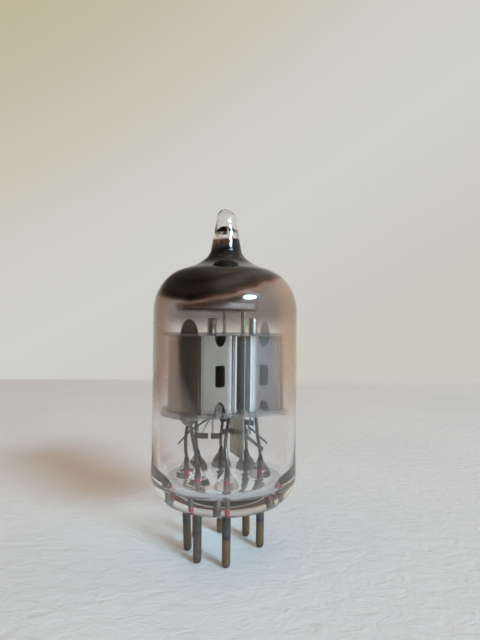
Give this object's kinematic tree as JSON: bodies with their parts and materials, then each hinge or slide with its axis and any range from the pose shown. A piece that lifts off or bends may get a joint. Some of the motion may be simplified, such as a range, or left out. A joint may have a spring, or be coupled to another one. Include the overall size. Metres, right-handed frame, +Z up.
{
  "type": "vacuum tube",
  "caption": "Miniature all-glass vacuum tube on a ring of pins, with box anodes between mica discs and a drawn glass tip.",
  "frame": {"origin": "on the tube's axis, in the plane of the pin tips that it stands on", "axes": "+Z up along the axis to the glass tip, -Y the front that the picture shows, +X to its right"},
  "size_m": [0.0184, 0.0184, 0.0435],
  "materials": {
    "clear_glass": "clear, polished",
    "pin_metal": "tarnished, matte",
    "seal_metal": "red copper oxide coat",
    "nickel": "dull nickel",
    "anode_sheet": "grey, carbonised sheet",
    "mica": "translucent mica, satin",
    "heater_coating": "white ceramic coat",
    "getter_metal": "dark, heat-stained"
  },
  "bodies": {
    "root": {"glass_bulb": "clear_glass", "glass_stem": "clear_glass", "pin_1": "pin_metal", "pin_2": "pin_metal", "pin_3": "pin_metal", "pin_4": "pin_metal", "pin_5": "pin_metal", "pin_6": "pin_metal", "pin_7": "pin_metal", "seal_wire_1": "seal_metal", "seal_wire_2": "seal_metal", "seal_wire_3": "seal_metal", "seal_wire_4": "seal_metal", "seal_wire_5": "seal_metal", "seal_wire_6": "seal_metal", "seal_wire_7": "seal_metal", "lead_1": "nickel", "lead_2": "nickel", "lead_3": "nickel", "lead_4": "nickel", "lead_5": "nickel", "lead_6": "nickel", "lead_7": "nickel", "lower_mica": "mica", "upper_mica": "mica", "left_anode": "anode_sheet", "right_anode": "anode_sheet", "shield_plate": "nickel", "left_cathode": "nickel", "right_cathode": "nickel", "left_heater": "heater_coating", "right_heater": "heater_coating", "left_heater_strap": "nickel", "heater_link": "nickel", "right_heater_strap": "nickel", "left_cathode_ribbon": "nickel", "right_cathode_ribbon": "nickel", "shield_strap": "nickel", "getter_shield": "getter_metal", "getter_ring": "getter_metal", "getter_strap": "nickel"}
  },
  "joints": []
}
